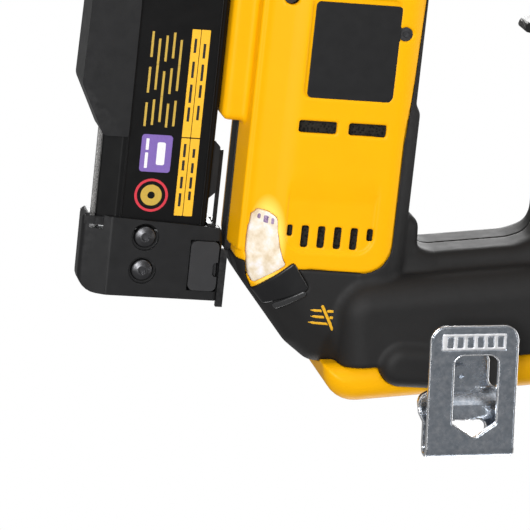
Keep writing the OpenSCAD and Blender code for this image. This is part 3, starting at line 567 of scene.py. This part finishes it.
def build_shells():
    step = 0.72
    g = Grid((-36, -1.5, 64), (215, 44, 249), step)
    yellow, black, foot = body_parts(g)
    mask = panel_mask(g)
    seam = 0.12
    skin, wall = 2.2, 2.6
    outer = np.minimum(yellow, black)
    rear = cut(foot, np.minimum(outer, tunnel(g)) - 0.15, 0.4)
    lens_cut = np.maximum(outline(LENS, g.x, g.z) - 0.2, 20 - g.a)
    hood_cut = np.maximum(outline(HOOD, g.x, g.z) - 0.15, 20 - g.a)
    lens_cut = np.maximum(lens_cut, -(outer + 3.2))
    hood_cut = np.maximum(hood_cut, -(outer + 1.2))
    basin = np.maximum(outline(RECESS, g.x, g.z), 30.6 - 1.6 * np.clip((g.x - 113) / 14, 0, 1) - g.a)
    pad = np.maximum(outline(PAD, g.x, g.z), 29.1 - g.a)
    # Inside of the shell: thinner behind the yellow, skin and wall behind the black
    inner = np.minimum(np.maximum(outer + wall, mask + 0.5), outer + skin + wall)
    front = both(yellow, mask + seam, 0.45)
    substrate = np.maximum(outer + skin + 0.05, -mask - 1.5)
    front = np.minimum(front, substrate)
    front = np.maximum(front, -inner)
    front = cut(front, basin, 0.25)
    front = cut(front, pad, 0.4)
    for x0, x1, z0, z1 in SLOTS:
        front = cut(front, box_field(g, (x0, x1), (12, 60), (z0, z1), 0.5), 0.3)
    for x0, x1, z0, z1 in INTAKES:
        front = cut(front, box_field(g, (x0, x1), (12, 60), (z0, z1), 0.6), 0.4)
    front = cut(front, lens_cut, 0.25)
    cap_cut = np.maximum(np.hypot(g.x, g.a) - 28, 232 - g.z)
    front = cut(front, cap_cut)
    front = cut(front, box_field(g, (99 - 0.1, 156.1), (-5, 5.3), (73, 78.3)))
    trigger_cut = box_field(g, (43.5, 66), (-5, 6.6), (190, 222))
    lock_cut = rod_field(g, 4.1, 74, 232, -5)
    insert_cut = rod_field(g, 3.55, 195.5, 175, 26.9)
    channel = np.minimum(
        np.maximum(np.maximum(21.5 - g.u, g.u - 29.5), np.maximum(g.a - 25, -4.5 - g.w)),
        np.maximum(np.maximum(21.5 - g.u, g.u - 60), np.maximum(g.a - 19, -4.5 - g.w)))
    rear = cut(rear, channel, 0.6)
    shell = np.minimum(front, rear)
    over = both(black, -mask + seam, 0.45)
    over = np.maximum(over, -(outer + skin))
    over = np.maximum(over, -np.maximum(yellow - 0.1, mask))
    for side, name in SIDES:
        nose_cut = box_field(g, (-14.5, 15.5), (-5, 19.5 if side < 0 else 23), (60, 80))
        for field, kind in ((shell, "Housing"), (over, "Overmould")):
            f = cut(field, trigger_cut, 0.4)
            f = cut(f, lock_cut, 0.4)
            f = cut(f, insert_cut, 0.3)
            f = cut(f, nose_cut, 0.4)
            f = cut(f, hood_cut, 0.2) if kind == "Overmould" else f
            if side < 0:
                for x, z, a in SCREWS:
                    f = cut(f, rod_field(g, 3.1, x, z, a - 2.6), 0.35)
            f = both(both(f, 0.03 - g.a, 0.35), g.z - TOP_Z, 0.3)
            solid(f"{kind}_{name}", g, f, side,
                               "yellow_plastic" if kind == "Housing" else "black_rubber")
        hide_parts(f"housing_{name}")
        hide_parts(f"overmould_{name}")


def inlay(name, corners, material, proud, depth, side, round_edge=0.3, span=3, step=0.4, a0=18):
    """A piece let into the outer skin along an outline, standing proud of it."""
    xs, zs = [c[0] for c in corners], [c[1] for c in corners]
    g = Grid((min(xs) - span, a0, min(zs) - span), (max(xs) + span, 34, max(zs) + span), step)
    skin = tunnel(g)
    f = both(skin - proud, outline(corners, g.x, g.z) + 0 * g.a, round_edge)
    f = both(f, -(skin + depth), 0.2)
    f = np.maximum(f, a0 + 1 - g.a)
    return solid(name, g, f, side, material)


def build_screens():
    """Dark mesh screens close behind the intake windows and the exhaust slots."""
    for side, name in SIDES:
        for label, x, z in SCREENS:
            prism(f"Screen_{label}_{name}", rect(x, z), side * 24.6, side * 25.3, "screen", "black_plastic")


def build_belly_strip():
    """Dark strip under the tunnel, between the magazine's lug and the rear cheek."""
    corners = [(99, 74.3, 0.5), (156, 74.3, 0.5), (156, 78.2, 0), (99, 78.2, 0)]
    piece = prism("Belly_strip", corners, -5.2, 5.2, "black_rubber", "black_rubber", edge=0.5)
    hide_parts("belly_strip")


ICON = [
    [(174.2, 117.3, 0.2), (175.4, 117.3, 0.2), (175.4, 122.8, 0.2), (174.2, 122.8, 0.2)],
    [(177.0, 118.6, 0.2), (178.2, 118.6, 0.2), (178.2, 122.9, 0.2), (177.0, 122.9, 0.2)],
    [(179.9, 120.9, 0.2), (181.1, 120.9, 0.2), (181.1, 122.9, 0.2), (179.9, 122.9, 0.2)],
    [(174.8, 109.5, 0.1), (175.4, 111.6, 0.2), (175.4, 115.2, 0.2), (174.2, 114.6, 0.2), (174.2, 111.6, 0.2)],
    [(177.6, 109.9, 0.1), (178.2, 112.0, 0.2), (178.2, 116.6, 0.2), (177.0, 116.0, 0.2), (177.0, 112.0, 0.2)],
    [(180.5, 109.3, 0.1), (181.1, 111.4, 0.2), (181.1, 118.4, 0.2), (179.9, 117.8, 0.2), (179.9, 111.4, 0.2)],
    [(172.0, 115.4, 0.5), (172.6, 114.2, 0.5), (183.7, 120.2, 0.5), (183.1, 121.4, 0.5)],
]


def build_inlays():
    for side, name in SIDES:
        lens = inlay(f"Light_lens_{name}", LENS, "lens", 0.25, 2.8, side, 0.5)
        hood = inlay(f"Indicator_hood_{name}", HOOD, "black_plastic", 1.6, 1.0, side,
                     0.9, step=0.3)
        window = inlay(f"Indicator_window_{name}", WINDOW, "smoked_window", 2.1, -0.9, side,
                       0.6, step=0.3)
        for i, mark in enumerate(LENS_MARKS):
            inlay(f"Light_mark_{i + 1}_{name}", mark, "lens_mark", 0.32, 0.5, side, 0.1,
                  step=0.25)
        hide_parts("work_lights")
        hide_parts("indicator_hoods")
        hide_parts("indicator_windows")
        for i, bar in enumerate(ICON):
            inlay(f"Pictogram_bar_{i + 1}_{name}", bar, "icon_yellow", 0.12, 0.6, side,
                  0.05, step=0.22)


# ---- small built pieces ---------------------------------------------------------------------------


def prism(name, corners, y0, y1, material, slot, body="tool", edge=0.0):
    """An (x, z) outline extruded along Y, with a small bevel when edge is given."""
    ring = rounded(corners)
    n = len(ring)
    bm = bmesh.new()
    lower = [bm.verts.new(Vector((px, y0, pz)) * MM) for px, pz in ring]
    upper = [bm.verts.new(Vector((px, y1, pz)) * MM) for px, pz in ring]
    bm.faces.new(lower)
    bm.faces.new(upper[::-1])
    for i in range(n):
        bm.faces.new((lower[i], upper[i], upper[(i + 1) % n], lower[(i + 1) % n]))
    bmesh.ops.recalc_face_normals(bm, faces=bm.faces)
    mesh = bpy.data.meshes.new(name)
    bm.to_mesh(mesh)
    bm.free()
    obj = bpy.data.objects.new(name, mesh)
    bpy.context.scene.collection.objects.link(obj)
    mesh.materials.append(MATERIALS[material].mat)
    if edge:
        soften(obj, edge)
    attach(obj, body)
    return obj


def soften(obj, width_mm, weld=False, highlight_rim=None):
    """Weld, bevel and smooth an object's hard edges."""
    if weld:
        w = obj.modifiers.new("weld", "WELD")
        w.merge_threshold = 2e-6
    b = obj.modifiers.new("bevel", "BEVEL")
    b.width = width_mm * MM
    b.segments = 2
    b.limit_method = "ANGLE"
    b.angle_limit = math.radians(34)
    # A rim material on the bevels paints a highlight along the edges
    if highlight_rim:
        obj.data.materials.append(MATERIALS[highlight_rim].mat)
        b.material = 1


def hook_profile():
    """(x, a) outline of the hook's sheet: plate, step outwards, bend at the rear and leaf."""
    plate, step, leaf, thick = 42.05, 48.5, 58.0, HOOK_THICK
    middle, r = (step + leaf) / 2, (leaf - step) / 2
    drop, run = step - plate, 11.0

    def step_at(t, d):
        slope = drop * math.pi / 2 / run * math.sin(math.pi * t)
        n = math.hypot(slope, 1)
        return (202 + run * t - d * slope / n, plate + drop * (1 - math.cos(math.pi * t)) / 2 + d / n)

    def bend(radius, a):
        return (226 + radius * math.cos(math.radians(a)), middle - radius * math.sin(math.radians(a)))

    points = [(171, leaf)] + [bend(r, a) for a in range(-90, 91, 15)]
    points += [step_at(k / 8, 0) for k in range(8, -1, -1)] + [(187, plate), (187, plate + thick)]
    points += [step_at(k / 8, thick) for k in range(9)]
    points += [bend(r - thick, a) for a in range(90, -91, -15)] + [(171, leaf - thick)]
    return [(x, a, 0) for x, a in points]


def build_hook():
    """Belt hook with a painted highlight along its cut edges, a bright zinc rim, and a plain pale panel near
    the leaf's end.
    """
    g = Grid((167, 40.9, 149), (231.2, 58.6, 203), 0.34)
    lean = math.radians(4.2)
    x = 176.8 + (g.x - 176) * math.cos(lean) + (g.z - 176.5) * math.sin(lean)
    z = 176.5 - (g.x - 176) * math.sin(lean) + (g.z - 176.5) * math.cos(lean)
    sheet = outline(hook_profile(), x, g.a)
    leaf = outline([(170.9, 157, 7), (240, 157, 0), (240, 196, 0), (170.9, 196, 7)], x, z)
    plate = outline([(186.9, 166, 4), (201, 166, 3), (206, 155, 4), (212, 155, 3), (216, 157, 3),
                     (240, 157, 0), (240, 196, 0), (216, 196, 3), (212, 198, 3), (206, 198, 4),
                     (201, 187, 3), (186.9, 187, 4)], x, z)
    slot = outline([(184.5, 168.3, 4), (214.5, 168.3, 1.5), (221, 178, 1.5), (214.5, 187.3, 1.5),
                    (184.5, 187.3, 4)], x, z)
    window = outline(rect((215.5, 224), (168.5, 184.5), 3), x, z)
    hole = np.hypot(g.x - 195.5, g.z - 175) - 2.6
    outer = np.maximum(leaf, -slot)
    inner = np.maximum(np.maximum(plate, -window), -hole)
    plan = np.where(g.a > 53.25, outer, inner)
    f = both(both(sheet, plan, 0.3), g.x - 230.5, 0.3)
    panel = np.maximum(outline(rect((174.6, 182.0), (162.4, 190.4), 0.3), x, z), 55 - g.a)
    bars = np.abs((z - 168.2) % 4.4 - 2.2) - 1.35
    bars = np.maximum(np.maximum(bars, np.abs(z - 176.4) - 12.8), np.abs(x - 178.3) - 2.4)
    panel = np.maximum(panel, -np.maximum(bars, 56 - g.a))
    # Painted highlight: a band this wide round the hook's outline is bright zinc, standing in for the light
    # its edges catch
    highlight_rim = 0.75
    hook = solid("Belt_hook", g, np.maximum(np.maximum(f, plan + highlight_rim), -panel), -1, "zinc_steel")
    solid("Belt_hook_painted_highlight_rim", g, np.maximum(f, -(plan + highlight_rim) + 0.02), -1, "painted_highlight_zinc")
    solid("Belt_hook_panel", g, np.maximum(f, panel + 0.02), -1, "zinc_etched")
    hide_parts("belt_hook")


def build_trip_spring():
    """The contact trip's return spring: one helical wire, built at its rest length."""
    x, y, radius, wire, low, high, pitch = -8.9, 16, 2.05, 0.3, 38.05, 61.95, 1.6
    rise = high - low - 2 * wire
    turns, sides = rise / pitch, 6
    n = int(turns * 20)
    points = []
    for i in range(n + 1):
        t = 2 * math.pi * turns * i / n
        for k in range(sides):
            c = 2 * math.pi * k / sides
            r = radius + wire * math.cos(c)
            height = low + wire + rise * i / n + wire * math.sin(c)
            points.append((x + r * math.cos(t), y + r * math.sin(t), height))
    faces = [(i * sides + k, i * sides + (k + 1) % sides, (i + 1) * sides + (k + 1) % sides,
              (i + 1) * sides + k) for i in range(n) for k in range(sides)]
    end = n * sides
    faces += [(0, 3, 2, 1), (0, 5, 4, 3), (end, end + 1, end + 2, end + 3),
              (end, end + 3, end + 4, end + 5)]
    spring = mesh_object("Trip_spring_coil", points, faces, "steel", "tool")
    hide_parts("trip_spring")
    # The record fixes its top at Z 62 mm: 24 mm long at rest, 18 mm with the trip 6 mm in.
    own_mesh(spring)


def build_cap_lips():
    """Lips inside the end cap's mouth that close it round the magazine."""
    x = (144.3, 148.0)
    lips = (((12.2, 16.7), (-7.0, 7.0)), ((16.6, 20.2), (-8.0, -6.6)), ((16.6, 20.2), (6.6, 8.0)),
            ((65.3, 67.6), (-8.9, 8.9)), ((67.5, 69.0), (-8.9, -5.0)), ((67.5, 69.0), (3.4, 8.9)))
    for i, (z, y) in enumerate(lips):
        prism(f"End_cap_lip_{i + 1}", rect(x, z), *y, "black_plastic", "black_plastic",
              body="magazine_slider")


def build_label():
    """Plain printed fields on the magazine's left face: no lettering, only bars and patches."""
    face = -8.5
    thick = 0.09

    def patch(name, x, z, material, proud=1, r=0.3):
        prism(name, rect(x, z, r), face - thick * proud, face + 0.3, material, "black_aluminium")

    for i, (x, z) in enumerate([((60, 107.1), (50.3, 54.0)), ((60, 107.1), (54.3, 58.2)),
                                ((107.6, 141.7), (50.3, 54.0)), ((107.6, 141.7), (54.3, 58.2))]):
        patch(f"Label_field_{i + 1}", x, z, "print_yellow")
    marks = [((64, 104), (51.6, 52.7)), ((66, 102), (55.7, 56.8)), ((110, 139), (51.6, 52.7)),
             ((112, 137), (55.7, 56.8))]
    for i, (x, z) in enumerate(marks):
        length = (x[1] - x[0]) / 4
        for k in range(4):
            a = x[0] + k * length
            patch(f"Label_mark_{i + 1}_{k + 1}", (a, a + length * (0.62 + 0.09 * ((k + i) % 3))), z,
                  "print_black", 1.6, 0.1)
    for i in range(5):
        z = 33.2 + 3.1 * i
        for k in range(3):
            a = 62 + 14 * k + 1.5 * ((i * 2 + k) % 3)
            patch(f"Label_line_{i + 1}_{k + 1}", (a, min(a + 11.2, 103.4)), (z, z + 1.0), "print_gold",
                  1, 0.1)
    patch("Label_patch", (106.8, 123.2), (33.2, 46.6), "print_purple", 1, 1.4)
    patch("Label_patch_bar_1", (110.0, 120.0), (40.2, 43.8), "print_white", 1.6, 0.8)
    patch("Label_patch_bar_2", (108.6, 113.6), (35.2, 36.5), "print_white", 1.6, 0.2)
    patch("Label_patch_bar_3", (114.8, 121.6), (35.2, 36.5), "print_white", 1.6, 0.2)
    ring("Label_ring", 133.4, 39.6, 7.3, 6.2, face - 0.1, face + 0.3, "print_red")
    ring("Label_disc", 133.4, 39.6, 4.6, 1.6, face - 0.1, face + 0.3, "print_gold")


def ring(name, x, z, r1, r0, y0, y1, material, n=48):
    """A flat ring along Y."""
    angles = [2 * math.pi * k / n for k in range(n)]
    rows = [[(x + r * math.cos(t), y, z + r * math.sin(t)) for t in angles]
            for r, y in ((r1, y0), (r1, y1), (r0, y1), (r0, y0))]
    points = [p for row in rows for p in row]
    faces = [(j * n + i, j * n + (i + 1) % n, (j + 1) % 4 * n + (i + 1) % n, (j + 1) % 4 * n + i)
             for j in range(4) for i in range(n)]
    return mesh_object(name, points, faces, material, "tool", smooth=False)


# ---- CAD nodes that stay --------------------------------------------------------------------------

# Bevel widths in mm; the other nodes get EDGE_PLAIN
EDGE_PLAIN = 0.2
EDGE = {"end_cap": 0.6, "magazine_latch": 0.4, "magazine_body": 0.4, "head_cap": 0.5,
        "nose_body": 0.5, "nose_plate": 0.5, "magazine_guard": 0.7, "trigger": 0.6, "contact_trip": 0.3,
        "no_mar_tip": 0.4, "end_cap_screws": 0.2, "hook_screw": 0.25, "housing_screws": 0.2,
        "depth_wheel": 0.15, "latch_keeper": 0.4, "name_pads": 0.15,
        "lock_off_button": 0.5, "nose_screws": 0.2, "drive_frame": 0.4, "battery_terminals": 0.5,
        "terminal_blades": 0.15, "latch_arm": 0.15, "hook_inserts": 0.2, "magazine_slide": 0.3}


# Painted highlights: a paler, glossier material on the bevels of the edges that catch the light
HIGHLIGHT_RIMS = {"end_cap": "painted_highlight_edge", "magazine_latch": "painted_highlight_edge"}

# Nodes whose finish differs from their slot's
OWN_FINISH = {"latch_arm": "black_steel", "nose_body": "nose_steel", "nose_plate": "nose_steel"}


def dress_cad():
    """Each CAD node gets its slot's material and soft edges."""
    for part in frame["record"]["subparts"]:
        name = part["node"]
        give(frame["nodes"][name], OWN_FINISH.get(name, part["material_slot"]))
        soften(frame["nodes"][name], EDGE.get(name, EDGE_PLAIN), True, HIGHLIGHT_RIMS.get(name))


# ---- stage ----------------------------------------------------------------------------------------

TOOL_MIDDLE = Vector((0.12, 0, 0.12))
FLOOR_HALF, FLOOR_Z = 6.0, -0.0008

def build_floor():
    """A pale floor under the muzzle. It can be seen through from below, where the camera stands."""
    mesh = bpy.data.meshes.new("Floor")
    h, z = FLOOR_HALF, FLOOR_Z
    mesh.from_pydata([(-h, -h, z), (h, -h, z), (h, h, z), (-h, h, z)], [], [(0, 1, 2, 3)])
    floor = bpy.data.objects.new("Floor", mesh)
    bpy.context.scene.collection.objects.link(floor)
    mat = bpy.data.materials.new("floor")
    mat.use_nodes = True
    tree = mat.node_tree
    bsdf = tree.nodes["Principled BSDF"]
    bsdf.inputs["Base Color"].default_value = (0.86, 0.86, 0.86, 1)
    bsdf.inputs["Roughness"].default_value = 0.9
    out = tree.nodes["Material Output"]
    mix = tree.nodes.new("ShaderNodeMixShader")
    clear = tree.nodes.new("ShaderNodeBsdfTransparent")
    back = tree.nodes.new("ShaderNodeNewGeometry")
    tree.links.new(back.outputs["Backfacing"], mix.inputs["Fac"])
    tree.links.new(bsdf.outputs["BSDF"], mix.inputs[1])
    tree.links.new(clear.outputs["BSDF"], mix.inputs[2])
    tree.links.new(mix.outputs["Shader"], out.inputs["Surface"])
    mesh.materials.append(mat)
    floor.visible_shadow = False
    floor.visible_diffuse = False
    floor.visible_glossy = False
    floor.visible_transmission = False


def area_light(name, at, size, power):
    """A soft light that faces the middle of the tool."""
    data = bpy.data.lights.new(name, "AREA")
    data.shape = "RECTANGLE"
    data.size, data.size_y = size
    data.energy = power
    obj = bpy.data.objects.new(name, data)
    bpy.context.scene.collection.objects.link(obj)
    obj.location = at
    obj.rotation_mode = "QUATERNION"
    obj.rotation_quaternion = (TOOL_MIDDLE - Vector(at)).to_track_quat("-Z", "Y")


def build_lights():
    world = bpy.data.worlds.new("studio")
    world.use_nodes = True
    tree = world.node_tree
    background = tree.nodes["Background"]
    background.inputs["Color"].default_value = (1, 1, 1, 1)
    background.inputs["Strength"].default_value = 0.27
    seen = tree.nodes.new("ShaderNodeBackground")
    seen.inputs["Color"].default_value = (1, 1, 1, 1)
    seen.inputs["Strength"].default_value = 1.0
    path = tree.nodes.new("ShaderNodeLightPath")
    mix = tree.nodes.new("ShaderNodeMixShader")
    tree.links.new(path.outputs["Is Camera Ray"], mix.inputs["Fac"])
    tree.links.new(background.outputs["Background"], mix.inputs[1])
    tree.links.new(seen.outputs["Background"], mix.inputs[2])
    tree.links.new(mix.outputs["Shader"], tree.nodes["World Output"].inputs["Surface"])
    bpy.context.scene.world = world
    area_light("Key", (-0.25, -1.45, -0.55), (0.8, 0.8), 27)
    area_light("Front", (-1.3, -0.5, 0.4), (0.9, 0.9), 4)
    area_light("Top", (0.1, -0.2, 1.5), (1.0, 1.0), 10)
    area_light("Rear", (1.3, 0.5, 0.5), (0.8, 0.8), 8)
    area_light("Right", (-0.2, 1.4, 0.5), (0.9, 0.9), 22)


def build_camera():
    """The photograph's view, with the tool lying across the frame: its +Z runs to the right."""
    yaw, pitch, roll = (math.radians(v) for v in (12.0, 14.0, 6.2))
    target, distance, focal = Vector((0.16357, 0, 0.09432)), 1.8, 2.3 * 1800
    back = Vector((-math.sin(yaw) * math.cos(pitch), math.sin(pitch), math.cos(yaw) * math.cos(pitch)))
    right0 = Vector((math.cos(yaw), 0, math.sin(yaw)))
    up0 = back.cross(right0)
    right = right0 * math.cos(roll) + up0 * math.sin(roll)
    up = -right0 * math.sin(roll) + up0 * math.cos(roll)

    def turned(v):
        return Vector((-v.y, -v.z, v.x))

    columns = [turned(right), turned(up), turned(back)]
    data = bpy.data.cameras.new("Camera")
    data.sensor_width = 36
    data.lens = focal / 530 * 36
    data.clip_start, data.clip_end = 0.05, 50
    cam = bpy.data.objects.new("Camera", data)
    bpy.context.scene.collection.objects.link(cam)
    turn = Matrix(columns).transposed().to_4x4()
    cam.matrix_world = Matrix.Translation(target + columns[2] * distance) @ turn
    bpy.context.scene.camera = cam


dress_cad()
build_shells()
build_inlays()
build_screens()
build_belly_strip()
build_hook()
build_trip_spring()
build_cap_lips()
build_label()
build_floor()
build_lights()
build_camera()
bpy.context.scene.view_settings.view_transform = "Standard"
bpy.context.view_layer.update()
